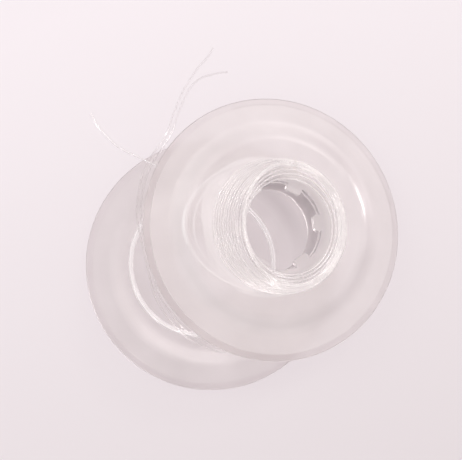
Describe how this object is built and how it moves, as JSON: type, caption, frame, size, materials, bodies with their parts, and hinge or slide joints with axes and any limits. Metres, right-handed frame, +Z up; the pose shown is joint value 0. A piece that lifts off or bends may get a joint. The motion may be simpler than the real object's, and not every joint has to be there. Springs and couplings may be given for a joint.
{
  "type": "two-piece thread bobbin",
  "caption": "Round two-piece thread bobbin, opened: a flat base half with a slotted collar and a leaning cover half whose tabbed hub holds clear thread.",
  "frame": {"origin": "centre of the base half's bore, on the table", "axes": "+Z up along the base half's axis, the cover half leans towards +X and +Y, the thread's long ends lie towards +Y"},
  "size_m": [0.0643, 0.0718, 0.0187],
  "materials": {
    "frosted_plastic": "translucent natural polypropylene, satin",
    "clear_thread": "clear drawn nylon, glossy"
  },
  "bodies": {
    "base": {"base_shell": "frosted_plastic", "fallen_turns": "clear_thread", "tail_top_a": "clear_thread", "tail_top_b": "clear_thread"},
    "cover": {"cover_shell": "frosted_plastic", "winding": "clear_thread", "sprung_turns": "clear_thread", "slack_turns": "clear_thread", "tail_left": "clear_thread"}
  },
  "joints": [
    {"name": "cover_lift", "type": "slide", "parent": "base", "child": "cover", "axis": [0, 0, 1], "range_m": [0, 0.03]}
  ]
}
